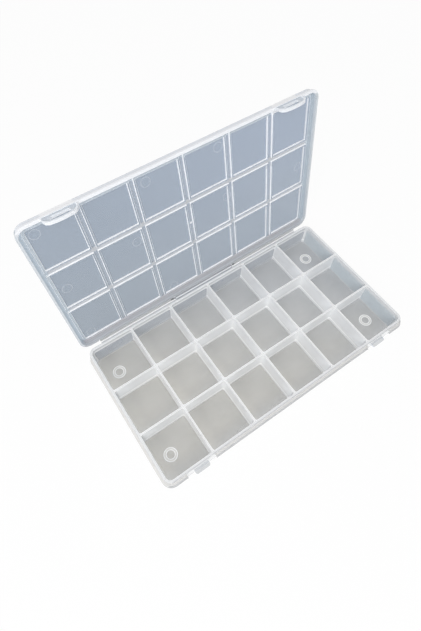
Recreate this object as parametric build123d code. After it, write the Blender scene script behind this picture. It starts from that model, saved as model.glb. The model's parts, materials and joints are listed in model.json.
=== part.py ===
from build123d import *
import os

# A clear moulded organizer box, in millimetres: a tray with 18 compartments and a hinged lid with
# two snap latches. X runs along the hinge, the latches face -Y, +Z is up. Everything is modelled
# with the lid closed, then the lid and its latches are swung open as the box stands in use.

os.makedirs("parts", exist_ok=True)

# Compartments
columns = 6
rows = 3
compartment_length = 35.85
compartment_width = 37.45
compartment_depth = 20.3
divider_top = 1.4
moulding_draft = 0.8
compartment_corner = 1.4
floor_chamfer = 0.6

# Tray walls, rim and feet
floor_thickness = 1.2
rim_width = 1.85
rim_rise = 0.25
rim_shelf = 0.35
rim_chamfer = 0.3
inside_corner = 4.0
base_chamfer = 0.9
foot_height = 0.6
foot_radius = 5.5
foot_hollow_radius = 3.0
foot_from_end = 11.6
foot_from_side = 18.4

# Stepped flange round the front and the two ends
flange_drop = 4.2
flange_height = 3.0
flange_at_ends = 2.1
flange_at_front = 2.6
flange_step = 0.8
flange_step_height = 0.7
flange_lip = 0.7
flange_ledge_thickness = 1.1
flange_corner = 7.9

# Lid
lid_gap = 0.95
lid_thickness = 1.2
lid_edge_fillet = 0.9
skirt_thickness = 1.0
skirt_clearance = 0.3
skirt_clearance_rear = 0.45
seat_gap = 0.1
skirt_foot_at_ends = 0.6
skirt_foot_at_front = 1.15
skirt_foot_at_rear = 1.0
skirt_foot_height = 1.4

# Bead rings under the lid
bead_height = 1.3
bead_inset = 0.75
bead_inset_wall = 0.3
bead_inner_inset = 2.35
bead_inner_inset_rear = 1.4
bead_inner_corner = 1.7
bead_chamfer = 0.25

# Hinge
barrel_radius = 2.3
barrel_gap = 0.2
lid_barrel_length = 57.0
tray_barrel_length = 70.0
barrel_end_gap = 1.4
pin_radius = 1.2
pin_clearance = 0.08
pin_end_chamfer = 0.32
pin_reach = 2.6
socket_end_gap = 0.6
web_height = 2.8
web_clearance = 0.3
relief_gap = 0.6
open_angle = 100.8

# Snap latches
latch_from_end = 27.0
latch_width = 22.6
latch_notch_gap = 0.7
latch_thickness = 1.3
latch_wall_gap = 0.92
latch_length = 8.7
latch_corner = 5.0
latch_bulge = 1.6
latch_lip_height = 1.4
latch_lip_depth = 0.9
latch_root_gap = 0.1
window_from_root = 2.3
window_height = 3.9
window_corner = 1.5
window_side_gap = 0.4
catch_width = 12.0
catch_height = 1.9
catch_gap = 0.6
catch_reach = 3.77
catch_ramp_reach = 2.3
catch_ramp_drop = 1.1
catch_corner = 1.4

# Levels and outlines that follow from the sizes above
column_pitch = compartment_length + divider_top
row_pitch = compartment_width + divider_top
inside_x = (columns * column_pitch - divider_top) / 2
inside_y = (rows * row_pitch - divider_top) / 2
rim_x = inside_x + rim_width
rim_y = inside_y + rim_width
rim_corner = inside_corner + rim_width

floor_z = foot_height + floor_thickness
divider_z = floor_z + compartment_depth
rim_z = divider_z + rim_rise
flange_z = rim_z - flange_drop
skirt_z = flange_z + seat_gap
lid_z = rim_z + lid_gap

skirt_x = rim_x + skirt_clearance
skirt_front = rim_y + skirt_clearance
skirt_rear = rim_y + skirt_clearance_rear
skirt_corner = rim_corner + skirt_clearance

axis_y = skirt_rear + skirt_thickness + barrel_gap + barrel_radius
axis_z = skirt_z
lid_barrel_end = lid_barrel_length / 2
tray_barrel_start = lid_barrel_end + barrel_end_gap
tray_barrel_end = tray_barrel_start + tray_barrel_length

latch_x = rim_x - latch_from_end
latch_inner_y = -rim_y - latch_wall_gap
latch_root_y = latch_inner_y - latch_thickness / 2
latch_root_z = skirt_z - latch_root_gap - latch_thickness / 2
window_z = latch_root_z - window_from_root + latch_thickness / 2 - window_height
catch_z = window_z + catch_gap


def rounded_plate(half_x, front, rear, corner, low, high):
    """A slab with rounded upright corners, from y = -front to y = rear and z = low to high."""
    outline = Pos(0, (rear - front) / 2, low) * RectangleRounded(2 * half_x, front + rear, corner)
    return extrude(outline, amount=high - low)


def compartment_centre(column, row):
    x = (column - (columns - 1) / 2) * column_pitch
    y = (row - (rows - 1) / 2) * row_pitch
    return x, y


def is_tray_corner(column, row):
    return column in (0, columns - 1) and row in (0, rows - 1)


def round_outward_corner(outline, radius):
    """Rounds the corner of a compartment's outline that lies in a corner of the tray."""
    return fillet(outline.vertices().sort_by_distance((0, 0, 0))[-1], radius)


def upright(edge):
    return abs(edge.tangent_at(0.5).Z) > 0.5


def compartment(column, row):
    """The space of one compartment: drafted walls, rounded uprights, a bevel along the floor."""
    mouth = Pos(*compartment_centre(column, row)) * Rectangle(compartment_length, compartment_width)
    space = extrude(Pos(0, 0, divider_z) * mouth, amount=compartment_depth, dir=(0, 0, -1))
    walls = space.faces().filter_by(lambda face: abs(face.normal_at().Z) < 0.5)
    space = draft(walls, neutral_plane=Plane.XY.offset(divider_z), angle=-moulding_draft)
    if is_tray_corner(column, row):
        outward = space.edges().filter_by(upright).sort_by_distance((0, 0, divider_z))[-1]
        space = fillet(outward, inside_corner)
        inward = space.edges().filter_by(upright).sort_by_distance((0, 0, divider_z))[:3]
        space = fillet(inward, compartment_corner)
    else:
        space = fillet(space.edges().filter_by(upright), compartment_corner)
    return chamfer(space.faces().sort_by(Axis.Z)[0].edges(), floor_chamfer)


def compartments():
    return [compartment(column, row) for column in range(columns) for row in range(rows)]


def flange():
    """Ledge, turned-down lip and outward step, round the front and the ends; nothing at the rear."""
    outer_x = rim_x + flange_at_ends
    outer_front = rim_y + flange_at_front
    low = flange_z - flange_height
    step_top = low + flange_step_height
    step = rounded_plate(outer_x, outer_front, rim_y, flange_corner, low, step_top)
    lip_corner = flange_corner - flange_step
    lip_x = outer_x - flange_step
    lip_front = outer_front - flange_step
    lip = rounded_plate(lip_x, lip_front, rim_y, lip_corner, low, flange_z)
    groove_corner = lip_corner - flange_lip
    groove_top = flange_z - flange_ledge_thickness
    groove = rounded_plate(
        lip_x - flange_lip, lip_front - flange_lip, rim_y, groove_corner, low, groove_top
    )
    notch_width = latch_width + 2 * latch_notch_gap
    notch_depth = 2 * flange_at_front
    notch = Box(notch_width, notch_depth, 3 * flange_height)
    notches = [Pos(side * latch_x, -rim_y - notch_depth / 2, flange_z) * notch for side in (-1, 1)]
    return (step + lip) - groove - notches


def catch_tab(side):
    """Tab on the front wall: flat below, where the latch hooks on, with a ramp above."""
    top = catch_z + catch_height
    wall_y = -rim_y + rim_width / 2
    tip_y = -rim_y - catch_reach
    with BuildSketch(Plane.YZ) as profile:
        with BuildLine():
            Polyline(
                (wall_y, catch_z),
                (tip_y, catch_z),
                (tip_y, top - catch_ramp_drop),
                (tip_y + catch_ramp_reach, top),
                (wall_y, top),
                close=True,
            )
        make_face()
    tab = extrude(profile.sketch, amount=catch_width / 2, both=True)
    tab = fillet(tab.edges().filter_by(Axis.Z).group_by(Axis.Y)[0], catch_corner)
    return Pos(side * latch_x, 0, 0) * tab


def foot(x, y):
    """A ring moulded under the floor."""
    ring = Cylinder(foot_radius, foot_height, align=(Align.CENTER, Align.CENTER, Align.MIN))
    hollow = Cylinder(foot_hollow_radius, foot_height, align=(Align.CENTER, Align.CENTER, Align.MIN))
    return Pos(x, y, 0) * (ring - hollow)


def tray_barrel(side):
    """A long barrel on the rear wall, with a blind socket for the lid's stub pin."""
    start = side * tray_barrel_start
    middle = side * (tray_barrel_start + tray_barrel_end) / 2
    barrel = Pos(middle, axis_y, axis_z) * Rot(0, 90, 0) * Cylinder(barrel_radius, tray_barrel_length)
    web_top = skirt_z - web_clearance
    with BuildSketch(Plane.YZ) as section:
        with BuildLine():
            Polyline(
                (rim_y - rim_width / 2, web_top),
                (axis_y - barrel_radius / 2, web_top),
                (axis_y, axis_z - barrel_radius),
                (rim_y - rim_width / 2, web_top - web_height),
                close=True,
            )
        make_face()
    web = Pos(middle, 0, 0) * extrude(section.sketch, amount=tray_barrel_length / 2, both=True)
    socket_depth = pin_reach + socket_end_gap
    socket = Rot(0, 90, 0) * Cylinder(pin_radius + pin_clearance, 2 * socket_depth)
    return (barrel + web) - Pos(start, axis_y, axis_z) * socket


def make_tray():
    body = rounded_plate(rim_x, rim_y, rim_y, rim_corner, foot_height, divider_z)
    body = chamfer(body.faces().sort_by(Axis.Z)[0].edges(), base_chamfer)
    body -= compartments()
    pocket_x = inside_x + rim_shelf
    pocket_y = inside_y + rim_shelf
    pocket_corner = inside_corner + rim_shelf
    rim = rounded_plate(rim_x, rim_y, rim_y, rim_corner, divider_z, rim_z)
    body += rim - rounded_plate(pocket_x, pocket_y, pocket_y, pocket_corner, divider_z, rim_z)
    rim_top = body.faces().sort_by(Axis.Z)[-1]
    body = chamfer(rim_top.outer_wire().edges(), rim_chamfer)
    body += flange() - rounded_plate(inside_x, inside_y, inside_y, inside_corner, 0, rim_z)
    foot_x = inside_x - foot_from_end
    foot_y = inside_y - foot_from_side
    body += [foot(sx * foot_x, sy * foot_y) for sx in (-1, 1) for sy in (-1, 1)]
    body += [catch_tab(side) for side in (-1, 1)]
    body += [tray_barrel(side) for side in (-1, 1)]
    return body


def compartment_outline(column, row, left, right, front, rear):
    """A rectangle set in from the four sides of a compartment's mouth."""
    x, y = compartment_centre(column, row)
    length = compartment_length - left - right
    width = compartment_width - front - rear
    return Pos(x + (left - right) / 2, y + (front - rear) / 2, lid_z) * Rectangle(length, width)


def bead_ring(column, row):
    """One raised ring under the lid, which closes its compartment just inside the mouth."""
    outer = compartment_outline(
        column,
        row,
        left=bead_inset_wall if column == 0 else bead_inset,
        right=bead_inset_wall if column == columns - 1 else bead_inset,
        front=bead_inset_wall if row == 0 else bead_inset,
        rear=bead_inset_wall if row == rows - 1 else bead_inset,
    )
    inner = compartment_outline(
        column,
        row,
        left=bead_inner_inset,
        right=bead_inner_inset,
        front=bead_inner_inset,
        rear=bead_inner_inset_rear if row == rows - 1 else bead_inner_inset,
    )
    if is_tray_corner(column, row):
        outer = round_outward_corner(outer, inside_corner - bead_inset_wall)
        inner = round_outward_corner(inner, bead_inner_corner)
    ring = extrude(outer - inner, amount=bead_height, dir=(0, 0, -1))
    return chamfer(ring.faces().sort_by(Axis.Z)[0].edges(), bead_chamfer)


def lid_hinge():
    """The middle barrel, the web that carries it and a stub pin at each end."""
    barrel = Rot(0, 90, 0) * Cylinder(barrel_radius, lid_barrel_length)
    pin_length = lid_barrel_length + 2 * (barrel_end_gap + pin_reach)
    pins = Rot(0, 90, 0) * Cylinder(pin_radius, pin_length)
    pins = chamfer(pins.edges().filter_by(GeomType.CIRCLE), pin_end_chamfer)
    web_reach = axis_y - skirt_rear - skirt_thickness / 2
    web = Pos(0, -web_reach / 2, barrel_radius / 2) * Box(lid_barrel_length, web_reach, barrel_radius)
    return Pos(0, axis_y, axis_z) * (barrel + pins + web)


def make_lid():
    outer_x = skirt_x + skirt_thickness
    outer_front = skirt_front + skirt_thickness
    outer_rear = skirt_rear + skirt_thickness
    outer_corner = skirt_corner + skirt_thickness
    lid_top = lid_z + lid_thickness
    shell = rounded_plate(outer_x, outer_front, outer_rear, outer_corner, skirt_z, lid_top)
    shell = fillet(shell.faces().sort_by(Axis.Z)[-1].edges(), lid_edge_fillet)
    foot_corner = outer_corner + skirt_foot_at_ends
    skirt_foot = rounded_plate(
        outer_x + skirt_foot_at_ends,
        outer_front + skirt_foot_at_front,
        outer_rear + skirt_foot_at_rear,
        foot_corner,
        skirt_z,
        skirt_z + skirt_foot_height,
    )
    relief_x = tray_barrel_end + relief_gap
    relief = Pos(0, outer_rear + skirt_foot_at_rear, skirt_z) * Box(
        2 * relief_x, 2 * skirt_foot_at_rear, 3 * skirt_foot_height
    )
    shell += skirt_foot - relief
    shell -= rounded_plate(skirt_x, skirt_front, skirt_rear, skirt_corner, skirt_z, lid_z)
    beads = [bead_ring(column, row) for column in range(columns) for row in range(rows)]
    return shell + beads + lid_hinge()


def tongue_blank(low, thickness):
    """The outline of a latch tongue, arched along its tip, with round corners, as a slab."""
    half = latch_width / 2
    shoulder = low + latch_bulge
    with BuildSketch(Plane.XZ) as outline:
        with BuildLine():
            Line((-half, latch_root_z), (half, latch_root_z))
            Line((half, latch_root_z), (half, shoulder))
            ThreePointArc((half, shoulder), (0, low), (-half, shoulder))
            Line((-half, shoulder), (-half, latch_root_z))
        make_face()
    blank = extrude(outline.sketch, amount=thickness / 2, both=True)
    return fillet(blank.edges().filter_by(Axis.Y).group_by(Axis.Z)[0], latch_corner)


def make_latch(side):
    """A tongue hanging from the skirt's foot, with a round root, a window and a pull lip."""
    root = latch_thickness / 2
    tip_z = latch_root_z + root - latch_length
    lip = tongue_blank(tip_z, latch_thickness + latch_lip_depth)
    lip -= Pos(0, 0, latch_lip_height) * lip
    window_width = catch_width + 2 * window_side_gap
    window = Pos(0, 0, window_z + window_height / 2) * Box(window_width, 3 * latch_thickness, window_height)
    window = fillet(window.edges().filter_by(Axis.Y), window_corner)
    knuckle = Pos(0, 0, latch_root_z) * Rot(0, 90, 0) * Cylinder(root, latch_width)
    tongue = tongue_blank(tip_z, latch_thickness) + Pos(0, -latch_lip_depth / 2, 0) * lip
    tongue = tongue + knuckle - window
    return Pos(side * latch_x, latch_root_y, 0) * tongue


# The lid and its latches swing open about the hinge axis
hinge_axis = Axis((0, axis_y, axis_z), (1, 0, 0))
box = {
    "tray": make_tray(),
    "lid": make_lid().rotate(hinge_axis, -open_angle),
    "left_latch": make_latch(-1).rotate(hinge_axis, -open_angle),
    "right_latch": make_latch(1).rotate(hinge_axis, -open_angle),
}

# The origin is on the table, under the middle of the open box
reach = Compound([piece for part in box.values() for piece in part.solids()]).bounding_box()
shift = Pos(0, -(reach.min.Y + reach.max.Y) / 2, 0)
for name, part in box.items():
    solids = (shift * part).solids()
    export_step(solids[0] if len(solids) == 1 else Compound(solids), f"parts/{name}.step")

print("hinge axis", round(axis_y + shift.position.Y, 3), round(axis_z, 3))
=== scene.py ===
import bpy
import json
import math
from mathutils import Matrix, Vector

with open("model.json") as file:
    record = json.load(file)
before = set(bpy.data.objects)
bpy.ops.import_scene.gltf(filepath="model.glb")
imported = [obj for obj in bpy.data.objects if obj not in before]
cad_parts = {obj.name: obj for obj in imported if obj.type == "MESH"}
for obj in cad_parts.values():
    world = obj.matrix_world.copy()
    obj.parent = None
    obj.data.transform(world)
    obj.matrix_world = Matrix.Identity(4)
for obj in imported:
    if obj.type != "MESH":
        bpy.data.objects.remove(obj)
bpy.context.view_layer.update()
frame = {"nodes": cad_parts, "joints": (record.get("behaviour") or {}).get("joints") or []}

# The tray: one tub in clear polypropylene, moulded in one shot with its floor, drafted walls and
# dividers, rim, stepped flange, ring feet and hinge barrels. The mould's floor is polished and the
# drafted walls come out milky where they scraped past the steel. Light and shade are painted into
# its colour as well: painted light and shade on the floors, a faint painted glow on the walls,
# painted highlights along thin edges and painted dark lines in gaps, steps and creases.

MM = 0.001
hinge = next(joint for joint in frame["joints"] if joint["name"] == "lid_hinge")
hinge_y, hinge_z = (value / MM for value in hinge["pos_m"][1:])
hinge_from_middle = 63.375
tray_middle = hinge_y - hinge_from_middle
column_pitch, row_pitch = 37.25, 38.85
rim_x, rim_y, rim_corner = 112.9, 59.425, 5.85
chamfer_z, divider_z = 2.4, 22.1
foot_x, foot_y, foot_inner, foot_outer = 99.45, 39.175, 3.0, 5.5
foot_line_inner, foot_line_outer = 3.3, 5.1
latch_x = 85.9


def shade(red, green, blue):
    """A colour as it is seen on screen, 0 to 255, in the linear values that a shader takes."""
    parts = (value / 255 for value in (red, green, blue))
    return tuple(v / 12.92 if v <= 0.04045 else ((v + 0.055) / 1.055) ** 2.4 for v in parts) + (1,)


class Field:
    """A value that changes over a surface; arithmetic on it adds Math nodes."""

    def __init__(self, finish, socket):
        self.finish = finish
        self.socket = socket

    def math(self, operation, *others):
        sockets = dict(enumerate((self, *others)))
        return self.finish.node("ShaderNodeMath", {"operation": operation}, sockets)

    def __add__(self, other):
        return self.math("ADD", other)

    def __sub__(self, other):
        return self.math("SUBTRACT", other)

    def __mul__(self, other):
        return self.math("MULTIPLY", other)

    def __rsub__(self, other):
        return self * -1 + other

    __radd__ = __add__
    __rmul__ = __mul__

    def __abs__(self):
        return self.math("ABSOLUTE")

    def root(self):
        return self.math("SQRT")

    def least(self, other):
        return self.math("MINIMUM", other)

    def most(self, other):
        return self.math("MAXIMUM", other)

    def rise(self, low, high):
        """0 below low, 1 above high, and a smooth step between them."""
        sockets = {0: self, 1: low, 2: high, 3: 0.0, 4: 1.0}
        return self.finish.node("ShaderNodeMapRange", {"interpolation_type": "SMOOTHSTEP"}, sockets)

    def fall(self, low, high):
        return 1 - self.rise(low, high)

    def band(self, low, high, soft):
        """1 from low to high and 0 outside, with ends that are soft by this much each way."""
        return self.rise(low - soft, low + soft) * self.fall(high - soft, high + soft)

    def line(self, at, width):
        return abs(self - at).fall(0.0, width)

    def nearest(self, pitch):
        """How far it is from the nearest of the lines that repeat at this pitch."""
        return abs(self).math("PINGPONG", pitch / 2)

    def along(self, pitch, start):
        """How far it is past its compartment's middle, with dividers at this pitch from start."""
        return ((self - start) * (1 / pitch)).math("FRACT") * pitch - pitch / 2


class Finish:
    """The shader of a material or of the world, built up from nodes."""

    def __init__(self, owner):
        owner.use_nodes = True
        self.owner = owner
        self.tree = owner.node_tree
        self.tree.nodes.clear()

    def node(self, kind, settings, sockets, output=0):
        made = self.tree.nodes.new(kind)
        for setting, value in settings.items():
            setattr(made, setting, value)
        for name, value in sockets.items():
            if isinstance(value, Field):
                self.tree.links.new(value.socket, made.inputs[name])
            else:
                made.inputs[name].default_value = value
        return Field(self, made.outputs[output]) if made.outputs else None

    def blend(self, factor, low, high):
        """The colour low where factor is 0 and high where it is 1."""
        return self.node("ShaderNodeMix", {"data_type": "RGBA"}, {0: factor, 6: low, 7: high}, 2)

    def layered(self, colour, layers):
        """The colour with each layer's own colour laid over it, in turn, where its mask is 1."""
        for mask, over in layers:
            colour = self.blend(mask, colour, over)
        return colour

    def parts(self, vector):
        made = self.node("ShaderNodeSeparateXYZ", {}, {0: vector}).socket.node
        return [Field(self, made.outputs[i]) for i in range(3)]

    def place(self):
        """Where a point is at rest, in millimetres, and the way that its surface faces."""
        where = self.node("ShaderNodeTexCoord", {}, {}, 3)
        facing = self.node("ShaderNodeTexCoord", {}, {}, 1)
        scaled = {0: where, "Scale": 1 / MM}
        return self.node("ShaderNodeVectorMath", {"operation": "SCALE"}, scaled), facing

    def mottle(self, where, size, detail=2.0, stretch=(1, 1, 1)):
        """Cloudiness from the melt's flow, about 0.5, in patches of this size in mm."""
        drawn = self.node("ShaderNodeVectorMath", {"operation": "MULTIPLY"}, {0: where, 1: stretch})
        sockets = {"Vector": drawn, "Scale": 1 / size, "Detail": detail}
        return self.node("ShaderNodeTexNoise", {}, sockets)

    def plastic(self, tint, milk, cloud, painted_glow, roughness, relief):
        """See-through plastic of one tint, with a milky share of a cloud colour and a painted glow
        of it, as one surface.
        """
        edge_on = self.node("ShaderNodeLayerWeight", {}, {"Blend": 0.5}, 1)
        gloss = edge_on * edge_on * edge_on * 0.35
        bump = {"Strength": 0.25, "Distance": 0.0001, "Height": relief}
        sockets = {"Base Color": cloud, "Roughness": roughness, "IOR": 1.49}
        sockets["Normal"] = self.node("ShaderNodeBump", {}, bump)
        sockets["Emission Color"] = self.blend(painted_glow, (0, 0, 0, 1), cloud)
        sockets["Emission Strength"] = 1.0
        milky = self.node("ShaderNodeBsdfPrincipled", {}, sockets)
        clear = self.node("ShaderNodeBsdfTransparent", {}, {"Color": tint})
        share = (milk + (1 - milk) * gloss).least(1.0)
        mixed = self.node("ShaderNodeMixShader", {}, {0: share, 1: clear, 2: milky})
        self.node("ShaderNodeOutputMaterial", {}, {0: mixed})


def distance(over_x, over_y):
    """How far away a point is, from how far it is along two axes."""
    return (over_x * over_x + over_y * over_y).root()


def past_corner(x, y, half_x, half_y, corner):
    """How far a point is outside a rectangle with round corners; below 0 inside it."""
    over_x, over_y = abs(x) - (half_x - corner), abs(y) - (half_y - corner)
    outside = distance(over_x.most(0.0), over_y.most(0.0))
    return outside + over_x.most(over_y).least(0.0) - corner


def barrel_lines(nx, y, z):
    """Masks for a painted highlight on a hinge barrel's shoulder and ends, and a painted shade line
    behind its crest.
    """
    back, up = y - hinge_y, z - hinge_z
    on_barrel = distance(back, up).fall(2.4, 2.7) * up.rise(-0.4, 0.4)
    end = abs(nx).rise(0.6, 0.9)
    dark = back.band(-0.75, 0.2, 0.2) * (1 - end)
    return on_barrel * back.band(-1.7, -0.95, 0.2).most(end), on_barrel * dark


tub = Finish(bpy.data.materials.new("clear_tub"))
where, facing = tub.place()
x, rest_y, z = tub.parts(where)
y = rest_y - tray_middle
nx, ny, nz = tub.parts(facing)

rim_out = past_corner(x, y, rim_x, rim_y, rim_corner)
within = rim_out.fall(-1.9, -1.6)
lowest = z.fall(chamfer_z - 0.02, chamfer_z + 0.06) * within
level = abs(nz).rise(0.75, 0.9)
upright = (1 - level) * (1 - lowest)
floor = (level * z.fall(chamfer_z, chamfer_z + 0.6)).most(lowest)
crest = level * z.rise(divider_z - 1.1, divider_z - 0.3)
ledges = level * z.band(14.5, 19.0, 0.3)

to_cross, to_long = x.nearest(column_pitch), row_pitch / 2 - y.nearest(row_pitch)
# A painted highlight along the edges of the divider and rim tops.
crest_highlight = crest * to_cross.least(to_long).rise(0.3, 0.6) * within
# Painted shade on the inner faces of the outer walls: below the flange, and more faintly near the
# top of the long walls.
end_wall = abs(x).band(110.4, 111.6, 0.2) * upright
side_wall = abs(y).band(56.9, 58.1, 0.2) * upright
end_shade = end_wall * z.fall(15.5, 20.5)
side_shade = side_wall * (z.fall(16.4, 17.4) + 0.35 * z.band(19.3, 21.6, 0.3))
wall_shade = end_shade.most(side_shade)
# A painted highlight line along the foot of each divider.
wall_foot_highlight = upright * z.band(4.8, 6.6, 0.8) * (1 - wall_shade) * within

across, towards_rear = x.along(column_pitch, 0.0), y.along(row_pitch, row_pitch / 2)
# A painted glow where dividers cross, and painted light that fills the shade on divider sides just
# past each crossing.
crossing = abs(nx) * to_long.fall(2.0, 6.0) + abs(ny) * to_cross.fall(2.0, 6.0)
past_long = (towards_rear + 0.4 * z).fall(-14.0, 4.0)
past_cross = (across + 0.4 * z).fall(-14.0, 4.0)
shadow_fill = abs(nx) * past_long + abs(ny) * past_cross
divider = upright * (1 - wall_shade) * within * rim_out.fall(-4.0, -3.0)
# Painted light on the floors: the first gradient lightens each compartment's floor towards its
# front and left and darkens it towards the rear, and the second is a painted reflection of the
# bluish lid, warm at the front left and cool at the rear right.
lit = (0.5 - 0.025 * towards_rear - 0.020 * across).rise(0.0, 1.0)
blue_reflection = (x * 0.0045 + y * 0.006 + 0.35).rise(0.0, 1.0)

foot_radius = distance(abs(x) - foot_x, abs(y) - foot_y)
foot_ring = foot_radius.band(foot_inner, foot_outer, 0.25) * z.fall(0.3, 0.5)
foot_wall = foot_radius.fall(5.6, 5.8) * z.fall(0.65, 0.75) * abs(nz).fall(0.3, 0.6)
floor_top = z.band(1.0, 2.0, 0.2)
# The ring feet are painted onto the floor's top face where they show through it, with painted
# highlight lines along their edges.
over_foot = foot_radius.band(3.2, 5.2, 0.4) * floor_top
foot_lines = foot_radius.line(foot_line_inner, 0.6).most(foot_radius.line(foot_line_outer, 0.6))
foot_ring_highlight = foot_lines * floor_top

# Painted shade: dark lines along the rim's outer edge, the flange's step, the top of the hinge web
# and the sides of the latch notches.
rim_side = (1 - level) * z.rise(18.0, 18.6) * rim_out.band(-0.5, 0.5, 0.1)
rim_outer = crest * rim_out.rise(-1.0, 0.2) + rim_side
rim_outer = rim_outer * (0.3 + 0.5 * x.rise(-111.0, -107.0))
front_or_right = y.fall(-59.5, -58.5).most(x.rise(112.0, 114.0))
step_line = rim_out.band(1.5, 2.5, 0.2) * z.rise(15.0, 15.5) * front_or_right
web_top = y.rise(59.5, 59.9) * z.band(17.0, 18.6, 0.2) * level
from_latch = abs(abs(x) - latch_x)
catch_tab = from_latch.fall(6.2, 6.5) * z.band(12.0, 15.0, 0.2) * y.fall(-60.0, -59.6)
notch_side = from_latch.band(11.7, 12.4, 0.2) * y.fall(-59.9, -59.5) * (1 - level)
# A painted highlight on each tray barrel's shoulder and ends, and a painted shade line behind its
# crest.
barrel_highlight, barrel_shade_line = barrel_lines(nx, rest_y, z)
painted_edge_shade = rim_outer.most(step_line * 0.8).most(web_top).most(notch_side).least(1.0)

flow = tub.mottle(where, 30)
streaks = tub.mottle(where, 9, 2.0, (0.35, 1.0, 1.0))
scuffs = tub.mottle(where, 1.5, 4.0)

# The milky share rises where highlights are painted and drops on the painted wall shade; the floor
# is clearer towards the front of each compartment, which is painted light.
milk = 0.45 * floor + 0.7 * upright + 0.9 * crest + 0.6 * ledges - 0.3 * wall_shade
milk = milk + 0.2 * crest_highlight + 0.2 * wall_foot_highlight + 0.3 * barrel_highlight
milk = milk + (flow - 0.5) * 0.15 + (streaks - 0.5) * 0.1 * floor
milk = milk - 0.15 * floor * towards_rear.fall(-17.0, -4.0) + 0.3 * barrel_shade_line
milk = milk * (1 - foot_ring) * (1 - foot_wall) + 0.2 * over_foot + 0.3 * foot_ring_highlight
floor_cloud = tub.blend(blue_reflection, shade(200, 197, 189), shade(184, 187, 190))
floor_lit = tub.blend(blue_reflection, shade(237, 232, 222), shade(224, 226, 230))
# All the painted highlight lines, laid on in near-white.
edge_highlights = crest_highlight.most(wall_foot_highlight).most(barrel_highlight).most(foot_ring_highlight)
cloud = tub.layered(tub.blend(lit, floor_cloud, floor_lit), (
    (1 - floor, shade(244, 245, 246)),
    (ledges, shade(246, 244, 241)),
    (end_shade, shade(191, 205, 214)),
    (side_shade, shade(163, 170, 181)),
    (catch_tab, shade(226, 231, 239)),
    (painted_edge_shade * 0.8, shade(186, 188, 192)),
    (barrel_shade_line, shade(92, 94, 99)),
    (0.7 * over_foot, shade(252, 250, 244)),
    (edge_highlights, shade(252, 252, 252)),
))
# Painted light on the floors beside the walls of each compartment.
near_wall_fill = across.fall(-14.0, -5.0) + towards_rear.fall(-16.0, -6.0) * y.rise(5.0, 30.0)
# A painted glow: faint on all walls and crests, stronger on divider sides just past and round a
# crossing, on the barrel highlight, on the floors near the walls and on the foot rings' lines.
painted_glow = 0.085 * upright + divider * (0.15 * shadow_fill + 0.02 * crossing) + 0.02 * crest
painted_glow = painted_glow + 0.08 * barrel_highlight + 0.12 * floor * near_wall_fill.least(1.3) + 0.1 * foot_ring_highlight
tub.plastic(shade(234, 235, 236), milk, cloud, painted_glow, 0.12 + 0.1 * scuffs, scuffs)

# The lid: a second shot of the same plastic, a flat plate with a thin skirt and 18 bead rings that
# drop into the compartments. Its plate is polished and bluish, and a painted reflection lightens
# its cells towards the hinge and the right. The drafted walls of the beads, the front edge and the
# skirt's foot are painted white as highlights, the bead walls and the skirt's gutter get a faint
# painted glow, and ejector pins left faint rings.
# The lid stands open at rest, and the places below are where its points are when it is closed.

lid_finish = Finish(bpy.data.materials.new("clear_lid"))
open_angle = math.radians(100.8)
hinge_line = (0, hinge_y, hinge_z)
plate_z = 23.3
skirt_x, skirt_y, skirt_corner = 113.2, 59.8, 6.2
ejector_pins = ((-102.4, 0.6), (-103.9, -50.0), (-102.4, 52.7), (-44.6, -7.6), (-27.4, -49.4),
                (29.7, -49.4), (34.0, -6.6), (104.7, 0.6), (-25.3, 53.4))
pin_mark_radius = 3.5


def swung_shut(finish, vector, about):
    """A point of the open lid turned shut about the hinge line, or a direction about the origin."""
    turned = {"Vector": vector, "Center": about, "Axis": (1, 0, 0), "Angle": open_angle}
    return finish.node("ShaderNodeVectorRotate", {}, turned)


where, facing = lid_finish.place()
_, open_y, open_z = lid_finish.parts(where)
closed = swung_shut(lid_finish, where, hinge_line)
x, y, z = lid_finish.parts(closed)
y = y - tray_middle
nx, _, nz = lid_finish.parts(swung_shut(lid_finish, facing, (0, 0, 0)))

level = abs(nz).rise(0.75, 0.9)
upright = 1 - level
inside = abs(x).fall(111.1, 111.6) * abs(y).fall(57.6, 58.1)
front, rear = y.fall(-55.4, -54.4), y.rise(57.8, 58.6)
left, right = x.fall(-109.0, -108.2), x.rise(110.0, 111.0)
margin = left.most(right).most(front).most(rear)
# The front edge, the bead walls and the skirt's foot are painted white as highlights.
edge_front = y.fall(-59.0, -57.0)
bead_wall = upright * inside * z.band(plate_z - 1.5, plate_z + 0.1, 0.1)
above_foot = z.rise(19.9, 20.4)
foot = (1 - above_foot) * (1 - inside) * (1 - 0.4 * rear)
from_skirt = past_corner(x, y, skirt_x, skirt_y, skirt_corner)
deep = from_skirt.rise(-2.4, 0.0)
# Where a painted glow lies along the margin beside the skirt.
gutter = from_skirt.band(-2.3, 0.4, 0.5) * above_foot
rear_plate = rear * z.rise(plate_z - 0.4, plate_z - 0.1)
row_channel = abs(abs(y) - row_pitch / 2).fall(1.4, 2.4) * (1 - margin)
column_channel = x.nearest(column_pitch).fall(1.5, 2.5) * (1 - margin)
# Less painted highlight on the bead walls behind each row and at the right end.
behind_row = y.along(row_pitch, row_pitch / 2).fall(-14.0, -13.0) * abs(y).fall(30.0, 32.0)
soft_wall = bead_wall * behind_row.most(x.rise(104.0, 106.0) * 0.8)
latch_patch = abs(abs(x) - latch_x).fall(9.0, 11.5) * y.fall(-55.0, -54.0)
# Painted reflection: the cells lighten towards the hinge and towards the right.
to_hinge = (y * 0.009 + 0.5).rise(0.0, 1.0)
to_right = x.rise(-120.0, 120.0)
# The painted highlight and painted shade line of the lid's middle barrel.
barrel_highlight, barrel_shade_line = barrel_lines(nx, open_y, open_z)

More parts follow.
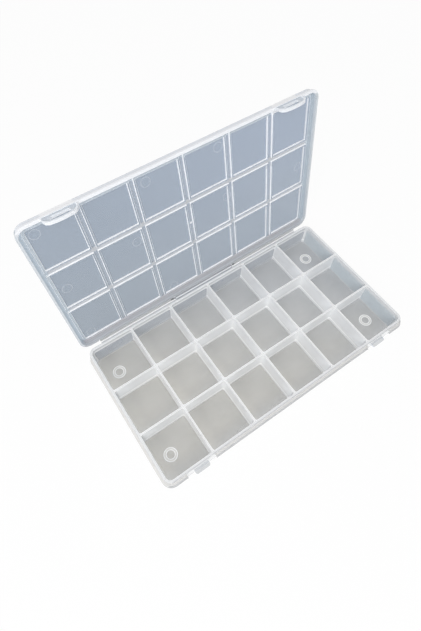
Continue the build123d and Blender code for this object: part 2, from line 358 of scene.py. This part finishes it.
marks = distance(x, y).fall(0.8, 1.3)
for pin_x, pin_y in ejector_pins:
    from_pin = distance(x - pin_x, y - pin_y)
    marks = marks.most(from_pin.line(pin_mark_radius, 0.55) * 0.45)
marks = marks * z.band(plate_z - 0.2, plate_z + 0.4, 0.1)

flow = lid_finish.mottle(closed, 45)
scuffs = lid_finish.mottle(closed, 1.5, 4.0)
milk = 0.25 + 0.15 * upright * (1 - margin) + 0.6 * bead_wall - 0.3 * soft_wall
milk = milk + (0.25 + 0.1 * rear_plate) * margin + 0.2 * foot
milk = milk + 0.3 * edge_front + 0.25 * row_channel + 0.05 * column_channel + 0.3 * barrel_highlight
milk = milk + 0.4 * marks + 0.3 * latch_patch + (flow - 0.5) * 0.12
# Cell colours that carry the painted reflection; the margin's right side gets a painted highlight.
front_cells = lid_finish.blend(to_right, shade(164, 175, 192), shade(186, 198, 221))
rear_cells = lid_finish.blend(to_right, shade(175, 181, 188), shade(193, 201, 213))
rear_cloud = lid_finish.blend(deep, shade(234, 229, 230), shade(199, 196, 198))
frame_cloud = lid_finish.blend(deep, shade(224, 232, 238), shade(203, 212, 219))
frame_cloud = lid_finish.layered(frame_cloud, (
    (0.6 * right * (1 - deep), shade(252, 253, 253)),
    (rear, rear_cloud),
))
foot_cloud = lid_finish.blend(x.rise(-110.0, -60.0), shade(234, 238, 242), shade(232, 237, 240))
# Painted highlights on the bead walls and the barrel, laid on together with the white ejector pin
# marks and the patch behind each latch.
highlights_and_marks = bead_wall.most(barrel_highlight).most(marks).most(latch_patch)
cloud = lid_finish.layered(lid_finish.blend(to_hinge, front_cells, rear_cells), (
    (row_channel.most(column_channel * 0.3), shade(224, 224, 226)),
    (margin, frame_cloud),
    (foot, foot_cloud),
    (edge_front, shade(244, 246, 250)),
    (barrel_shade_line, shade(160, 160, 164)),
    (highlights_and_marks, shade(250, 251, 253)),
))
# A painted glow on the bead walls and along the margin beside the skirt.
painted_glow = 0.1 * bead_wall + (0.2 - 0.06 * right) * gutter * margin
lid_finish.plastic(shade(213, 219, 225), milk, cloud, painted_glow, 0.12 + 0.1 * scuffs, scuffs)

# The two latch tongues hang from the lid's foot by a thin root, moulded with the lid. They are
# frosted by the bending and by the fingers that pull them, with painted highlights and a faint
# painted glow along their outline, round their windows and on the lip.

tongue = Finish(bpy.data.materials.new("frosted_tongue"))
tongue_x, tongue_z, tongue_corner, tongue_middle = 11.3, 6.5, 5.0, 16.0
window_x, window_z, window_corner, window_middle = 6.4, 1.95, 1.5, 13.9
where, _ = tongue.place()
closed = swung_shut(tongue, where, hinge_line)
x, _, z = tongue.parts(closed)
off_middle = abs(x) - latch_x
below_arch = z - tongue_middle - off_middle * off_middle * 0.0125
outline = past_corner(off_middle, below_arch, tongue_x, tongue_z, tongue_corner)
window = past_corner(off_middle, z - window_middle, window_x, window_z, window_corner)
lip = z.fall(10.8, 11.4)
# Painted highlights along the tongue's outline, round its window and on its lip.
tongue_highlight = outline.rise(-1.2, -0.4).most(window.fall(0.1, 0.8) * 0.7).most(lip * 0.5)
scuffs = tongue.mottle(closed, 1.5, 4.0)
milk = 0.4 + 0.2 * scuffs + 0.3 * tongue_highlight
cloud = tongue.blend(tongue_highlight, shade(234, 239, 244), shade(250, 252, 255))
tongue.plastic(shade(232, 236, 241), milk, cloud, 0.04 * tongue_highlight, 0.2 + 0.1 * scuffs, scuffs)

finishes = {"tray": tub, "lid": lid_finish, "left_latch": tongue, "right_latch": tongue}
for name, finish in finishes.items():
    node = frame["nodes"][name]
    node.data.materials.clear()
    node.data.materials.append(finish.owner)

# The table under the box is a plain white sheet that runs out of view. It looks white to the eye
# and through the plastic, and it still takes the box's soft shadow.

table_size, table_gap = 4, 0.15
sheet_white_share = 0.93
bpy.ops.mesh.primitive_plane_add(size=table_size)
table = bpy.context.object
table.name = "table"
table.location.z = -table_gap * MM


def looked_at(finish):
    """1 for what is seen directly, mirrored or through plastic; 0 for light that bounces."""
    path = finish.node("ShaderNodeLightPath", {}, {}).socket.node
    names = ("Is Camera Ray", "Is Glossy Ray", "Is Transmission Ray")
    straight, mirrored, through = (Field(finish, path.outputs[name]) for name in names)
    return (straight + mirrored + through).least(1.0)


sheet = Finish(bpy.data.materials.new("white_sheet"))
paint = sheet.node("ShaderNodeBsdfDiffuse", {}, {"Color": (0.95, 0.95, 0.95, 1)})
white = sheet.node("ShaderNodeEmission", {}, {"Color": (1, 1, 1, 1), "Strength": 1.0})
share = looked_at(sheet) * sheet_white_share
mixed = sheet.node("ShaderNodeMixShader", {}, {0: share, 1: paint, 2: white})
sheet.node("ShaderNodeOutputMaterial", {}, {0: mixed})
table.data.materials.append(sheet.owner)

# The studio: a white room all round and one large soft lamp, high on the left in front of the box.

room = Finish(bpy.data.worlds.new("white_room"))
bpy.context.scene.world = room.owner
soft = room.node("ShaderNodeBackground", {}, {"Color": (1, 1, 1, 1), "Strength": 0.55})
white = room.node("ShaderNodeBackground", {}, {"Color": (1, 1, 1, 1), "Strength": 1.0})
mixed = room.node("ShaderNodeMixShader", {}, {0: looked_at(room), 1: soft, 2: white})
room.node("ShaderNodeOutputWorld", {}, {0: mixed})

lamp_data = bpy.data.lights.new("softbox", "AREA")
lamp_data.energy = 8
lamp_data.size = 0.7
lamp = bpy.data.objects.new("softbox", lamp_data)
bpy.context.scene.collection.objects.link(lamp)
lamp.location = (-0.6, -0.6, 0.9)
lamp.rotation_euler = (Vector((0, 0, 0.03)) - lamp.location).to_track_quat("-Z", "Y").to_euler()

# The camera looks down on the open box from the left of its front, as the photograph does.

frame_width, frame_height = 421, 631
focal, centre_x, centre_y = 422.08, 201.53, 312.17
view_right = Vector((0.82720297, -0.56188602, -0.00439825))
view_down = Vector((-0.4961236, -0.7266685, -0.4751992))
view_ahead = Vector((0.26381172, 0.39526826, -0.87986725))
camera_data = bpy.data.cameras.new("camera")
camera = bpy.data.objects.new("camera", camera_data)
bpy.context.scene.collection.objects.link(camera)
bpy.context.scene.camera = camera
camera_data.sensor_width = 36
camera_data.lens = focal / frame_height * camera_data.sensor_width
camera_data.shift_x = (frame_width / 2 - centre_x) / frame_height
camera_data.shift_y = (centre_y - frame_height / 2) / frame_height
turn = Matrix((view_right, -view_down, -view_ahead)).transposed()
stand = Vector((-110.75, hinge_y - 162.385, 327.19)) * MM
camera.matrix_world = Matrix.Translation(stand) @ turn.to_4x4()

scene = bpy.context.scene
scene.view_settings.view_transform = "Standard"
scene.cycles.use_denoising = True
scene.cycles.transparent_max_bounces = 48
scene.cycles.max_bounces = 16
scene.cycles.diffuse_bounces = 8
